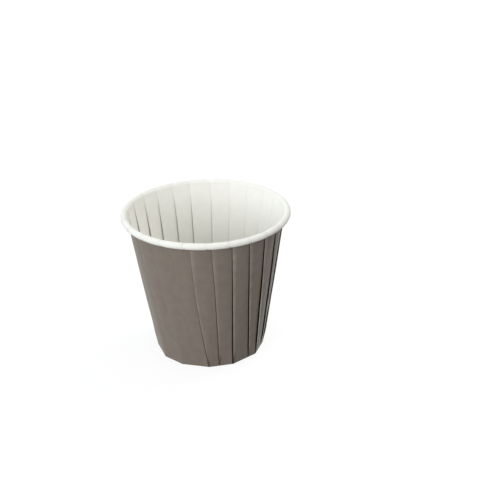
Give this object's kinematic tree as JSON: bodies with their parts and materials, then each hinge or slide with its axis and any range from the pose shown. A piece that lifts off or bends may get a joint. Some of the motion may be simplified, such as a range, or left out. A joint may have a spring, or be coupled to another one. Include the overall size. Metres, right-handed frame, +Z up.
{
  "type": "paper baking cup",
  "caption": "Tall pleated paper baking cup with a tapered wall, a flat many-sided base and an outward rolled rim.",
  "frame": {"origin": "centre of the base, on the plane it stands on", "axes": "+Z up, out of the mouth; +X to the right and -Y towards the camera of the picture"},
  "size_m": [0.073, 0.073, 0.064],
  "materials": {
    "cup_paper": "matte"
  },
  "bodies": {
    "root": {"pleated_cup": "cup_paper"}
  },
  "joints": []
}
